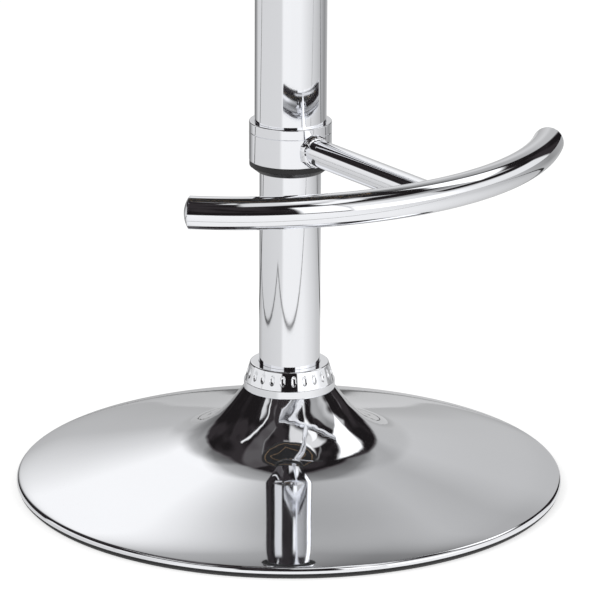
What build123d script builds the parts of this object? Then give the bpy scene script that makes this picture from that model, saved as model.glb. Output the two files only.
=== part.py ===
from build123d import *
import math
import os

# Bar stool on a round chromed base. Lengths in millimetres, angles in degrees.
# The origin is on the floor under the centre of the base, +Z is up, the footrest points to -Y
# and the height lever to +X. Heights are those of the stool as it stands in the photograph.

# Fits
press_gap = 0.02
running_gap = 0.05
soft_gap = 0.3
free_gap = 0.6
overrun = 2.0

# Base: chromed sheet spun into a flat apron that flares up into a bell
base_radius = 225.0
shell_sheet = 1.5
rim_top = 9.2
rim_rounding = 2.0
apron_angle = 11.5
flare_radius = 91.5
flare_straight = 17.0
flare_angle = 53.0
neck_radius = 37.4
neck_height = 83.5

# Floor ring, floor cover, weight and column socket
gasket_height = 5.0
gasket_width = 14.0
gasket_inset = 1.0
gasket_toe = 2.5
gasket_rib_height = 2.0
gasket_rib_width = 2.0
cover_sheet = 1.5
cover_height = 1.5
ballast_margin = 25.0
ballast_thickness = 6.5
ballast_hole_radius = 27.0
socket_wall = 6.0
socket_foot_margin = 26.0
socket_foot_thickness = 5.0
socket_foot_rounding = 6.0

# Dimpled ring round the foot of the column
ring_height = 21.5
ring_band_height = 6.5
ring_band_step = 0.7
ring_top_radius = 32.2
ring_top_rounding = 1.2
ring_wall = 2.2
ring_roof = 1.6
dimple_count = 24
dimple_width = 4.2
dimple_height = 8.6
dimple_depth = 1.1
dimple_base_gap = 4.2

# Fixed column tube with its end plate and guide sleeve
column_radius = 25.0
column_wall = 2.0
column_foot_gap = 8.0
column_taper = 0.6
end_plate_thickness = 4.0
sleeve_length = 95.0
sleeve_flange = 2.5

# Gas spring: fixed rod below, pressure tube above
tube_radius = 14.0
tube_wall = 1.5
tube_taper = 0.7
rod_radius = 5.0
rod_neck_radius = 4.0
rod_tail = 6.5
washer_radius = 9.0
washer_thickness = 1.5
clip_radius = 7.0
clip_thickness = 1.2
clip_groove = 0.7
clip_mouth = 6.4
race_thickness = 2.4
race_outer_radius = 12.5
race_groove = 0.8
ball_radius = 2.0
ball_count = 10
cage_thickness = 1.4
bump_length = 12.0
bump_wall = 6.0
bump_gap = 4.0
rod_guide_length = 16.0
rod_seal_length = 5.0
piston_length = 12.0
piston_gap = 4.0
piston_ring_radius = 1.3
valve_length = 20.0
valve_radius = 3.5
valve_dome = 1.0
valve_proud = 6.0
valve_depth = 12.0
valve_travel = 3.0
valve_slack = 0.1

# Height adjustment, down and up from the height in the photograph
lift_drop = 120.0
lift_rise = 90.0
low_clearance = 42.6
column_headroom = 25.0

# Collar, bush and cover tube
cover_tube_radius = 29.1
cover_tube_wall = 1.2
cover_tube_length = 331.0
collar_radius = 33.5
collar_height = 32.3
collar_rounding = 0.8
collar_groove_drop = 8.5
collar_groove_width = 0.7
collar_groove_depth = 0.5
bush_lip_height = 4.4
bush_taper_height = 4.7
bush_nose_radius = 27.3
bush_sleeve_height = 5.0
grub_radius = 3.0
grub_spread_angle = 70.0
grub_socket_radius = 1.5

# Footrest: arm from the collar to a bent crossbar
arm_radius = 11.0
arm_wall = 1.5
arm_end_rise = 10.75
arm_slope_angle = 1.0
bead_radius = 2.6
bar_radius = 12.8
bar_wall = 1.5
bar_reach = 183.0
bar_bend_radius = 256.0
bar_half_angle = 43.5
cap_dome = 5.0
cap_flange = 1.0
cap_plug_length = 12.0

# Seat plate with its taper hub, lever bracket and bolts
plate_sheet = 2.5
pan_size = 112.0
pan_depth = 47.0
pan_corner = 12.0
plate_size = 170.0
plate_corner = 14.0
hub_wall = 3.2
hub_below_pan = 12.0
hub_height = 40.0
bolt_spacing = 142.0
bolt_radius = 3.0
bolt_head_radius = 6.5
bolt_head_height = 4.0
bolt_length = 14.0
nut_wall = 1.2
nut_flange_radius = 9.5
nut_flange = 1.2

# Lever
lever_radius = 4.0
lever_pivot = 36.0
lever_drop = 22.0
lever_bend_start = 62.0
lever_bend_end = 104.0
lever_bend_radius = 14.0
lever_reach = 214.0
lever_boss_radius = 6.0
lever_boss_width = 12.0
lever_finger_thickness = 5.0
lever_finger_width = 9.0
lever_finger_end = 5.0
lever_slot_margin = 2.5
bracket_sheet = 2.0
bracket_length = 16.0
pin_radius = 2.5
grip_length = 58.0
grip_radius = 6.6
grip_waist = 1.0
grip_end_cover = 4.0

# Round seat
board_radius = 183.0
board_thickness = 12.0
foam_edge_height = 48.0
foam_side_swell = 5.0
foam_shoulder = 22.0
foam_crown = 12.0
cover_skin = 1.6
cover_turn_under = 22.0
piping_radius = 3.2
dust_cloth_thickness = 0.8
dust_cloth_margin = 4.0

# Heights that follow from the sizes above
cover_top = cover_height + cover_sheet
ballast_top = cover_top + ballast_thickness
ring_bottom = neck_height
ring_top = ring_bottom + ring_height
socket_bore_top = column_radius + press_gap
socket_top = neck_height - shell_sheet
column_bottom = ballast_top + column_foot_gap
plate_bottom_z = column_bottom + column_foot_gap
race_bottom = plate_bottom_z + end_plate_thickness
race_gap = 2 * (ball_radius - race_groove)
ball_centre_z = race_bottom + race_thickness + race_gap / 2
upper_race_bottom = ball_centre_z + race_gap / 2
upper_race_top = upper_race_bottom + race_thickness
bump_top = upper_race_top + bump_length
tube_bottom = bump_top + bump_gap + lift_drop
piston_bottom = tube_bottom + rod_guide_length + rod_seal_length + lift_rise + piston_gap
rod_top = piston_bottom + piston_length
bush_bottom = ring_top + low_clearance + lift_drop
collar_bottom = bush_bottom + bush_taper_height + bush_lip_height
cover_tube_bottom = collar_bottom + bush_sleeve_height
bar_z = collar_bottom + arm_end_rise
pan_bottom = cover_tube_bottom + cover_tube_length
plate_top = pan_bottom + pan_depth
hub_bottom = pan_bottom - hub_below_pan
hub_top = hub_bottom + hub_height
tube_top = hub_top
column_top = hub_bottom - lift_drop - column_headroom
button_top = tube_top + valve_proud
board_top = plate_top + board_thickness

# Radii that follow from the sizes above
column_bore = column_radius - column_wall
tube_bore = tube_radius - tube_wall
cover_bore = cover_tube_radius - cover_tube_wall
rod_bore = rod_radius + running_gap
neck_bore = rod_neck_radius + running_gap
race_pitch_radius = (neck_bore + race_outer_radius) / 2
lever_z = button_top + valve_slack + lever_finger_thickness / 2
lever_angle = math.degrees(math.asin(valve_travel / lever_pivot))
foam_radius = board_radius + foam_side_swell


def disc(radius, bottom, top):
    """Upright cylinder on the Z axis."""
    return Pos(0, 0, bottom) * extrude(Circle(radius), top - bottom)


def tube(outer, inner, bottom, top):
    """Upright tube on the Z axis."""
    return Pos(0, 0, bottom) * extrude(Circle(outer) - Circle(inner), top - bottom)


def turned(points):
    """Solid turned about Z from a closed outline of (radius, height) points."""
    outline = Polyline(*[(radius, height) for radius, height in points], close=True)
    return revolve(Plane.XZ * make_face(outline), Axis.Z)


def turned_edges(edges):
    """Solid turned about Z from edges drawn with the radius as X and the height as Y."""
    return revolve(Plane.XZ * make_face(edges), Axis.Z)


def dome(radius, rise, foot):
    """Arc of a shallow dome from its edge at a height to its peak on the axis."""
    ball = (radius**2 + rise**2) / (2 * rise)
    half_way = radius / 2
    middle = (half_way, foot + rise - ball + math.sqrt(ball**2 - half_way**2))
    return ThreePointArc((radius, foot), middle, (0, foot + rise))


def circles_at(solid, radius, height):
    """Level circular edges of a solid, picked by their radius and height."""
    near = press_gap / 2
    return [
        edge
        for edge in solid.edges().filter_by(GeomType.CIRCLE)
        if abs(edge.radius - radius) < near and abs(edge.arc_center.Z - height) < near
    ]


def around(count, shape):
    """Copies of a shape spread evenly about Z."""
    return [Rot(0, 0, 360 * index / count) * shape for index in range(count)]


def shell_skin(depth):
    """Points of the base's skin at a depth below its outer face, from the neck out to the rim."""
    steep = math.radians(flare_angle)
    low = math.radians(apron_angle)
    start = (neck_radius - depth * math.sin(steep), neck_height - depth * math.cos(steep))
    slide = (start[1] - neck_height + depth) / math.sin(steep)
    top = (start[0] + slide * math.cos(steep), neck_height - depth)
    foot_of_straight = (
        start[0] + flare_straight * math.cos(steep),
        start[1] - flare_straight * math.sin(steep),
    )
    radius = flare_radius + depth
    centre = (
        foot_of_straight[0] + radius * math.sin(steep),
        foot_of_straight[1] + radius * math.cos(steep),
    )

    def on_flare(angle):
        return (centre[0] - radius * math.sin(angle), centre[1] - radius * math.cos(angle))

    # The apron is one arc, tangent to the flare, whose outer face meets the rim's corner.
    outer_foot = (
        centre[0] - flare_radius * math.sin(low),
        centre[1] - flare_radius * math.cos(low),
    )
    run = base_radius - outer_foot[0]
    drop = outer_foot[1] - rim_top
    chord_angle = math.atan2(drop, run)
    apron_radius = math.hypot(run, drop) / (2 * math.sin(chord_angle - low))
    apron_centre = (
        outer_foot[0] - apron_radius * math.sin(low),
        outer_foot[1] - apron_radius * math.cos(low),
    )
    skin_radius = apron_radius - depth
    end_angle = math.asin((base_radius - depth - apron_centre[0]) / skin_radius)

    def on_apron(angle):
        return (
            apron_centre[0] + skin_radius * math.sin(angle),
            apron_centre[1] + skin_radius * math.cos(angle),
        )

    return {
        "top": top,
        "straight_end": on_flare(steep),
        "flare_middle": on_flare((steep + low) / 2),
        "flare_end": on_flare(low),
        "apron_middle": on_apron((low + end_angle) / 2),
        "rim": on_apron(end_angle),
    }


def skin_edges(skin):
    return [
        Line(skin["top"], skin["straight_end"]),
        ThreePointArc(skin["straight_end"], skin["flare_middle"], skin["flare_end"]),
        ThreePointArc(skin["flare_end"], skin["apron_middle"], skin["rim"]),
    ]


def base_shell():
    outer = shell_skin(0)
    inner = shell_skin(shell_sheet)
    hole = column_radius + free_gap
    rim_in = base_radius - shell_sheet
    lip = [(base_radius, gasket_height), (rim_in, gasket_height)]
    collar = [(hole, neck_height), (hole, inner["top"][1])]
    edges = skin_edges(outer) + skin_edges(inner)
    edges += Polyline(outer["rim"], *lip, inner["rim"]).edges()
    edges += Polyline(outer["top"], *collar, inner["top"]).edges()
    shell = turned_edges(edges)
    return fillet(circles_at(shell, *outer["rim"]), rim_rounding)


def rim_gasket():
    outer = base_radius - gasket_inset
    inner = outer - gasket_width
    rib_outer = base_radius - shell_sheet - running_gap
    rib_inner = rib_outer - gasket_rib_width
    return turned(
        [
            (inner, 0),
            (outer - gasket_toe, 0),
            (outer, gasket_toe),
            (outer, gasket_height),
            (rib_outer, gasket_height),
            (rib_outer, gasket_height + gasket_rib_height),
            (rib_inner, gasket_height + gasket_rib_height),
            (rib_inner, cover_top),
            (inner + gasket_rib_width, cover_top),
            (inner + gasket_rib_width, cover_height),
            (inner, cover_height),
        ]
    )


def floor_cover():
    lip = base_radius - gasket_inset - gasket_width + gasket_rib_width
    return disc(lip - running_gap, cover_height, cover_top)


def ballast_plate():
    return tube(base_radius - ballast_margin, ballast_hole_radius, cover_top, ballast_top)


def column_radius_at(height):
    """Outer radius of the column tube, tapered where it sits in its socket."""
    share_up = (height - column_bottom) / (socket_top - column_bottom)
    return column_radius - column_taper * (1 - min(share_up, 1))


def column_socket():
    outer = column_radius + socket_wall
    foot = outer + socket_foot_margin
    bottom_bore = column_radius_at(column_bottom) + press_gap
    socket = turned(
        [
            (bottom_bore, ballast_top),
            (foot, ballast_top),
            (foot, ballast_top + socket_foot_thickness),
            (outer, ballast_top + socket_foot_thickness),
            (outer, socket_top),
            (socket_bore_top, socket_top),
            (bottom_bore, column_bottom),
        ]
    )
    return fillet(circles_at(socket, outer, ballast_top + socket_foot_thickness), socket_foot_rounding)


def base_ring():
    bore = column_radius + soft_gap
    band_top = ring_bottom + ring_band_height
    cone_foot = neck_radius - ring_band_step
    ring = turned(
        [
            (neck_radius - ring_wall, ring_bottom),
            (neck_radius, ring_bottom),
            (neck_radius, band_top),
            (cone_foot, band_top),
            (ring_top_radius, ring_top),
            (bore, ring_top),
            (bore, ring_top - ring_roof),
            (ring_top_radius - ring_wall, ring_top - ring_roof),
        ]
    )
    ring = fillet(circles_at(ring, ring_top_radius, ring_top), ring_top_rounding)
    ring = fillet(circles_at(ring, neck_radius, band_top), ring_band_step / 2)
    lean = math.degrees(math.atan2(cone_foot - ring_top_radius, ring_top - band_top))
    low = band_top + dimple_base_gap - ring_band_step
    middle = low + dimple_height / 2
    share_up = (middle - band_top) / (ring_top - band_top)
    face_radius = cone_foot + (ring_top_radius - cone_foot) * share_up
    # Each dimple is an ellipsoid scaled from a unit ball and laid against the cone.
    ball = scale(Sphere(1), by=(dimple_depth, dimple_width / 2, dimple_height / 2))
    dimple = Pos(face_radius, 0, middle) * (Rot(0, -lean, 0) * ball)
    for copy in around(dimple_count, dimple):
        ring -= copy
    return ring


def column_tube():
    foot = column_radius_at(column_bottom)
    return turned(
        [
            (column_bore, column_bottom),
            (foot, column_bottom),
            (column_radius, socket_top),
            (column_radius, column_top),
            (column_bore, column_top),
        ]
    )


def column_end_plate():
    hole = neck_bore + running_gap
    return tube(column_bore - press_gap, hole, plate_bottom_z, race_bottom)


def guide_sleeve():
    bore = tube_radius + running_gap
    body = column_bore - press_gap
    return turned(
        [
            (bore, column_top - sleeve_length),
            (body, column_top - sleeve_length),
            (body, column_top),
            (column_radius, column_top),
            (column_radius, column_top + sleeve_flange),
            (bore, column_top + sleeve_flange),
        ]
    )


def ball_track():
    """Ring-shaped cutter for the grooves that the balls run in."""
    groove = Pos(race_pitch_radius, ball_centre_z) * Circle(ball_radius + press_gap)
    return revolve(Plane.XZ * groove, Axis.Z)


def lower_race():
    bore = neck_bore + running_gap
    return tube(race_outer_radius, bore, race_bottom, race_bottom + race_thickness) - ball_track()


def upper_race():
    return tube(race_outer_radius, neck_bore, upper_race_bottom, upper_race_top) - ball_track()


def bearing_balls():
    ball = Pos(race_pitch_radius, 0, ball_centre_z) * Sphere(ball_radius)
    return Compound(children=[copy for copy in around(ball_count, ball)])


def ball_cage():
    half = cage_thickness / 2
    inner = neck_bore + running_gap
    cage = tube(race_outer_radius, inner, ball_centre_z - half, ball_centre_z + half)
    pocket = disc(ball_radius + running_gap, ball_centre_z - cage_thickness, ball_centre_z + cage_thickness)
    for copy in around(ball_count, Pos(race_pitch_radius, 0, 0) * pocket):
        cage -= copy
    return cage


def clip_z():
    """Underside of the clip that holds the rod in the end plate."""
    return plate_bottom_z - washer_thickness - running_gap - clip_thickness


def piston_rod():
    tail = clip_z() - rod_tail + clip_thickness
    groove = rod_neck_radius - clip_groove
    return turned(
        [
            (0, tail),
            (rod_neck_radius, tail),
            (rod_neck_radius, clip_z()),
            (groove, clip_z()),
            (groove, clip_z() + clip_thickness),
            (rod_neck_radius, clip_z() + clip_thickness),
            (rod_neck_radius, upper_race_top),
            (rod_radius, upper_race_top),
            (rod_radius, piston_bottom),
            (rod_neck_radius, piston_bottom),
            (rod_neck_radius, rod_top),
            (0, rod_top),
        ]
    )


def rod_washer():
    bottom = clip_z() + clip_thickness
    return tube(washer_radius, neck_bore, bottom, bottom + washer_thickness)


def rod_clip():
    inner = rod_neck_radius - clip_groove + press_gap
    clip = tube(clip_radius, inner, clip_z() + press_gap, clip_z() + clip_thickness - press_gap)
    mouth = Box(2 * clip_radius, clip_mouth, 2 * clip_thickness)
    return clip - Pos(clip_radius, 0, clip_z() + clip_thickness / 2) * mouth


def bump_stop():
    outer = rod_bore + bump_wall
    waist = outer - bump_wall / 4
    middle = (upper_race_top + bump_top) / 2
    low = (outer, upper_race_top)
    high = (outer, bump_top)
    edges = Polyline(high, (rod_bore, bump_top), (rod_bore, upper_race_top), low).edges()
    return turned_edges(edges + [ThreePointArc(low, (waist, middle), high)])


def piston():
    outer = tube_bore - running_gap
    middle = piston_bottom + piston_length / 2
    body = tube(outer, rod_neck_radius + press_gap, piston_bottom, rod_top)
    groove = Pos(outer - piston_ring_radius, middle) * Circle(piston_ring_radius + press_gap)
    mouth = Pos(outer, middle) * Rectangle(2 * piston_ring_radius, 2 * piston_ring_radius)
    return body - revolve(Plane.XZ * (groove + mouth), Axis.Z)


def piston_ring():
    centre = tube_bore - running_gap - piston_ring_radius
    section = Pos(centre, piston_bottom + piston_length / 2) * Circle(piston_ring_radius)
    return revolve(Plane.XZ * section, Axis.Z)


def pressure_tube():
    return turned(
        [
            (tube_bore, tube_bottom),
            (tube_radius, tube_bottom),
            (tube_radius, hub_bottom),
            (tube_radius - tube_taper, tube_top),
            (tube_bore - tube_taper, tube_top),
            (tube_bore - tube_taper, tube_top - valve_length),
            (tube_bore, tube_top - valve_length),
        ]
    )


def rod_guide():
    return tube(tube_bore - press_gap, rod_bore, tube_bottom, tube_bottom + rod_guide_length)


def rod_seal():
    bottom = tube_bottom + rod_guide_length
    return tube(tube_bore - press_gap, rod_bore, bottom, bottom + rod_seal_length)


def valve_body():
    outer = tube_bore - tube_taper - press_gap
    body = disc(outer, tube_top - valve_length, tube_top)
    bore_bottom = tube_top - valve_depth - valve_travel - free_gap
    return body - disc(valve_radius + running_gap, bore_bottom, tube_top + overrun)


def valve_button():
    bottom = tube_top - valve_depth
    shoulder = button_top - valve_dome
    stem = [(0, button_top), (0, bottom), (valve_radius, bottom), (valve_radius, shoulder)]
    return turned_edges(Polyline(*stem).edges() + [dome(valve_radius, valve_dome, shoulder)])


def cover_tube():
    return tube(cover_tube_radius, cover_bore, cover_tube_bottom, pan_bottom)


def grub_pins(radius, inner, outer):
    """Level cylinders across the collar's back wall, one for each set screw."""
    pin = Rot(0, 90, 0) * extrude(Circle(radius), outer - inner)
    pin = Pos(inner, 0, collar_bottom + collar_height / 2) * pin
    back = 90
    return [Rot(0, 0, back + side * grub_spread_angle / 2) * pin for side in (-1, 1)]


def footrest_collar():
    bore = cover_tube_radius + press_gap
    top = collar_bottom + collar_height
    collar = tube(collar_radius, bore, collar_bottom, top)
    collar = fillet(circles_at(collar, collar_radius, top), collar_rounding)
    groove_z = top - collar_groove_drop
    # A notch as wide as the groove at the collar's face, drawn twice as deep so that it cuts clear.
    collar -= turned(
        [
            (collar_radius - collar_groove_depth, groove_z),
            (collar_radius + collar_groove_depth, groove_z - collar_groove_width),
            (collar_radius + collar_groove_depth, groove_z + collar_groove_width),
        ]
    )
    for hole in grub_pins(grub_radius + press_gap, bore - overrun, collar_radius + overrun):
        collar -= hole
    return collar


def set_screws():
    face = cover_tube_radius + press_gap
    sunk = collar_radius - grub_socket_radius
    bodies = grub_pins(grub_radius, face, sunk)
    sockets = grub_pins(grub_socket_radius, sunk - grub_socket_radius, sunk + overrun)
    return Compound(children=[body - socket for body, socket in zip(bodies, sockets)])


def collar_bush():
    bore = column_radius + soft_gap
    sleeve = cover_tube_radius - press_gap
    return turned(
        [
            (bore, bush_bottom),
            (bush_nose_radius, bush_bottom),
            (collar_radius - soft_gap, bush_bottom + bush_taper_height),
            (collar_radius - soft_gap, collar_bottom),
            (sleeve, collar_bottom),
            (sleeve, cover_tube_bottom),
            (bore, cover_tube_bottom),
        ]
    )


def level_bar(radius, start, end):
    """Cylinder along -Y at the height of the crossbar, from one distance out to another."""
    return Pos(0, -start, bar_z) * (Rot(90, 0, 0) * extrude(Circle(radius), end - start))


def bar_sweep(radius):
    """The crossbar's bent round, as wide as the radius given."""
    centre = Pos(0, bar_bend_radius - bar_reach, 0)
    section = Plane.YZ * (Pos(-bar_bend_radius, bar_z) * Circle(radius))
    bend = revolve(Rot(0, 0, -bar_half_angle) * section, Axis.Z, 2 * bar_half_angle)
    return centre * bend


def footrest_arm():
    root = collar_radius - arm_radius
    bead_outer = arm_radius + bead_radius
    arm = level_bar(arm_radius, root, bar_reach)
    # The weld bead swells the arm where it meets the collar.
    bead = level_bar(bead_outer, root, collar_radius + bead_radius)
    tip = [
        edge
        for edge in bead.edges().filter_by(GeomType.CIRCLE)
        if abs(edge.arc_center.Y + collar_radius + bead_radius) < press_gap
    ]
    arm += chamfer(tip, bead_radius - press_gap)
    arm -= level_bar(arm_radius - arm_wall, root - overrun, bar_reach + overrun)
    # It rises from the crossbar to the collar.
    arm = Pos(0, -bar_reach, bar_z) * (Rot(arm_slope_angle, 0, 0) * (Pos(0, bar_reach, -bar_z) * arm))
    arm -= disc(collar_radius + press_gap, collar_bottom - collar_height, collar_bottom + 2 * collar_height)
    return arm - bar_sweep(bar_radius + press_gap)


def footrest_bar():
    return bar_sweep(bar_radius) - bar_sweep(bar_radius - bar_wall)


def bar_end(side):
    """Place at one end of the crossbar, with +Z of the place pointing out of the tube."""
    centre_y = bar_bend_radius - bar_reach
    turn = math.radians(bar_half_angle)
    spot = (
        side * bar_bend_radius * math.sin(turn),
        centre_y - bar_bend_radius * math.cos(turn),
        bar_z,
    )
    outward = (side * math.cos(turn), math.sin(turn), 0)
    return Plane(origin=spot, x_dir=(0, 0, 1), z_dir=outward)


def bar_cap(side):
    """Domed cap with a plug that fits the bent tube."""
    plug = bar_radius - bar_wall - soft_gap
    stem = [
        (0, cap_dome),
        (0, -cap_plug_length),
        (plug, -cap_plug_length),
        (plug, 0),
        (bar_radius, 0),
        (bar_radius, cap_flange),
    ]
    edges = Polyline(*stem).edges() + [dome(bar_radius, cap_dome - cap_flange, cap_flange)]
    return bar_end(side) * turned_edges(edges)


def bar_cap_left():
    return bar_cap(-1)


def bar_cap_right():
    return bar_cap(1)


def seat_plate():
    pan = extrude(RectangleRounded(pan_size, pan_size, pan_corner), pan_depth)
    room = pan_size - 2 * plate_sheet
    hollow = extrude(RectangleRounded(room, room, pan_corner - plate_sheet), pan_depth + overrun)
    flange = extrude(RectangleRounded(plate_size, plate_size, plate_corner), plate_sheet)
    plate = pan + Pos(0, 0, pan_depth - plate_sheet) * flange - Pos(0, 0, plate_sheet) * hollow
    plate = Pos(0, 0, pan_bottom) * plate
    hub_hole = tube_radius + hub_wall + press_gap
    plate -= disc(hub_hole, pan_bottom - overrun, pan_bottom + plate_sheet + overrun)
    for spot in bolt_spots():
        plate -= spot * disc(bolt_radius + press_gap, plate_top - 2 * plate_sheet, plate_top + overrun)
    # The lever leaves through a slot that clears its swing, up to the flange.
    half_width = lever_radius + lever_slot_margin
    swing = (pan_size / 2 - lever_pivot) * math.tan(math.radians(lever_angle))
    slot_bottom = lever_z - half_width - swing
    slot_top = plate_top - plate_sheet
    slot = Box(4 * plate_sheet, 2 * half_width, slot_top - slot_bottom)
    return plate - Pos((pan_size - plate_sheet) / 2, 0, (slot_bottom + slot_top) / 2) * slot


def bolt_spots():
    half = bolt_spacing / 2
    return [Pos(x, y, 0) for x in (-half, half) for y in (-half, half)]


def taper_hub():
    bore_low = tube_radius + press_gap
    bore_high = tube_radius - tube_taper + press_gap
    outer = tube_radius + hub_wall
    return turned([(bore_low, hub_bottom), (outer, hub_bottom), (outer, hub_top), (bore_high, hub_top)])


def lever_bracket():
    """U-shaped bracket that stands in the pan and carries the lever's pin."""
    floor_z = pan_bottom + plate_sheet
    rise = lever_z + lever_boss_radius - floor_z
    room_width = lever_boss_width + 2 * running_gap
    width = room_width + 2 * bracket_sheet
    bracket = extrude(Rectangle(bracket_length, width), rise)
    room = extrude(Rectangle(bracket_length + overrun, room_width), rise)
    bracket = Pos(lever_pivot, 0, floor_z) * (bracket - Pos(0, 0, bracket_sheet) * room)
    return bracket - across(pin_radius + press_gap, width + overrun)


def across(radius, length):
    """Cylinder along Y through the lever's pivot."""
    return Pos(lever_pivot, length / 2, lever_z) * (Rot(90, 0, 0) * extrude(Circle(radius), length))


def lever_pin():
    return across(pin_radius, lever_boss_width + 2 * (running_gap + bracket_sheet))


def release_lever():
    low_z = lever_z - lever_drop
    path = FilletPolyline(
        (lever_pivot, 0, lever_z),
        (lever_bend_start, 0, lever_z),
        (lever_bend_end, 0, low_z),
        (lever_reach, 0, low_z),
        radius=lever_bend_radius,
    )
    section = Plane(path @ 0, z_dir=path % 0) * Circle(lever_radius)
    rod = sweep(section, path)
    boss = across(lever_boss_radius, lever_boss_width)
    finger_length = lever_pivot + lever_finger_end
    finger = Box(finger_length, lever_finger_width, lever_finger_thickness)
    finger = Pos(lever_pivot - finger_length / 2, 0, lever_z) * finger
    return rod + boss + finger - across(pin_radius + running_gap, lever_boss_width + overrun)


def lever_grip():
    end = lever_reach + grip_end_cover
    start = end - grip_length
    neck = grip_radius - grip_waist
    tip = end - neck
    bore = lever_radius + press_gap
    seat = lever_reach + press_gap
    round_share = math.sqrt(1 / 2)
    # Drawn with the distance along the lever as X, then turned about the lever's own axis.
    edges = Polyline((end, 0), (seat, 0), (seat, bore), (start, bore), (start, neck)).edges()
    edges += [
        ThreePointArc((start, neck), ((start + tip) / 2, grip_radius), (tip, neck)),
        ThreePointArc((tip, neck), (tip + neck * round_share, neck * round_share), (end, 0)),
    ]
    return Pos(0, 0, lever_z - lever_drop) * revolve(make_face(edges), Axis.X)


def seat_bolts():
    under_flange = plate_top - plate_sheet
    head_bottom = under_flange - bolt_head_height
    shank = disc(bolt_radius, under_flange, under_flange + bolt_length)
    head = disc(bolt_head_radius, head_bottom, under_flange)
    head = fillet(circles_at(head, bolt_head_radius, head_bottom), bolt_head_height / 2)
    hexagon = RegularPolygon(bolt_radius / 2, 6)
    bolt = head + shank - Pos(0, 0, head_bottom) * extrude(hexagon, bolt_head_height / 2)
    return Compound(children=[spot * bolt for spot in bolt_spots()])


def board_nuts():
    thread = bolt_radius + press_gap
    barrel = tube(bolt_radius + nut_wall, thread, plate_top, board_top - nut_flange)
    flange = tube(nut_flange_radius, thread, board_top - nut_flange, board_top)
    return Compound(children=[spot * (barrel + flange) for spot in bolt_spots()])


def seat_board():
    board = disc(board_radius, plate_top, board_top)
    barrel_hole = disc(bolt_radius + nut_wall + press_gap, plate_top - overrun, board_top + overrun)
    flange_seat = disc(nut_flange_radius + press_gap, board_top - nut_flange, board_top + overrun)
    for spot in bolt_spots():
        board -= spot * (barrel_hole + flange_seat)
    return board


def cushion_body(skin, bottom):
    """The crowned round cushion down to a height, grown outwards by the skin given."""
    side = foam_radius + skin
    edge_top = board_top + foam_edge_height
    shoulder = foam_radius - foam_shoulder
    foot = (side - foam_side_swell, bottom)
    shoulder_side = (side, edge_top - foam_shoulder)
    shoulder_top = (shoulder, edge_top + skin)
    side_middle = (side, (bottom + shoulder_side[1]) / 2)
    turn = (foam_shoulder + skin) * math.sqrt(1 / 2)
    corner = (shoulder + turn, edge_top - foam_shoulder + turn)
    edges = Polyline((0, edge_top + skin + foam_crown), (0, bottom), foot).edges()
    edges += [
        ThreePointArc(foot, side_middle, shoulder_side),
        ThreePointArc(shoulder_side, corner, shoulder_top),
        dome(shoulder, foam_crown, edge_top + skin),
    ]
    return turned_edges(edges)


def seat_foam():
    return cushion_body(0, board_top)


def seat_cover():
    """Skin over the foam and the board's edge, turned in under the board."""
    under = plate_top - cover_skin
    outside = cushion_body(soft_gap + cover_skin, under)
    inside = cushion_body(soft_gap, plate_top)
    mouth = disc(board_radius - cover_turn_under, under - overrun, plate_top + overrun)
    return outside - inside - mouth


def seat_piping():
    """Welt cord round the cushion where its rounded edge meets the side band."""
    centre = foam_radius + cover_skin + 2 * soft_gap + piping_radius
    section = Pos(centre, board_top + foam_edge_height - foam_shoulder) * Circle(piping_radius)
    return revolve(Plane.XZ * section, Axis.Z)


def dust_cloth():
    outer = board_radius - cover_turn_under - dust_cloth_margin
    room = plate_size + 2 * dust_cloth_margin
    cloth = Circle(outer) - RectangleRounded(room, room, plate_corner)
    return Pos(0, 0, plate_top - dust_cloth_thickness) * extrude(cloth, dust_cloth_thickness)


nodes = {
    "base_shell": base_shell,
    "rim_gasket": rim_gasket,
    "floor_cover": floor_cover,
    "ballast_plate": ballast_plate,
    "column_socket": column_socket,
    "base_ring": base_ring,
    "column_tube": column_tube,
    "column_end_plate": column_end_plate,
    "guide_sleeve": guide_sleeve,
    "bearing_lower_race": lower_race,
    "bearing_balls": bearing_balls,
    "bearing_cage": ball_cage,
    "bearing_upper_race": upper_race,
    "piston_rod": piston_rod,
    "rod_washer": rod_washer,
    "rod_clip": rod_clip,
    "bump_stop": bump_stop,
    "piston": piston,
    "piston_ring": piston_ring,
    "pressure_tube": pressure_tube,
    "rod_guide": rod_guide,
    "rod_seal": rod_seal,
    "valve_body": valve_body,
    "valve_button": valve_button,
    "cover_tube": cover_tube,
    "footrest_collar": footrest_collar,
    "collar_bush": collar_bush,
    "collar_set_screws": set_screws,
    "footrest_arm": footrest_arm,
    "footrest_bar": footrest_bar,
    "bar_cap_left": bar_cap_left,
    "bar_cap_right": bar_cap_right,
    "seat_plate": seat_plate,
    "taper_hub": taper_hub,
    "lever_bracket": lever_bracket,
    "lever_pin": lever_pin,
    "release_lever": release_lever,
    "lever_grip": lever_grip,
    "seat_bolts": seat_bolts,
    "board_nuts": board_nuts,
    "seat_board": seat_board,
    "seat_foam": seat_foam,
    "seat_cover": seat_cover,
    "seat_piping": seat_piping,
    "dust_cloth": dust_cloth,
}

os.makedirs("parts", exist_ok=True)
for name, make in nodes.items():
    export_step(make(), f"parts/{name}.step")
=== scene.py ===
import math
import random
from functools import partialmethod

import bmesh
import bpy
from mathutils import Matrix, Vector
from mathutils.noise import noise as noise_at


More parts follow.
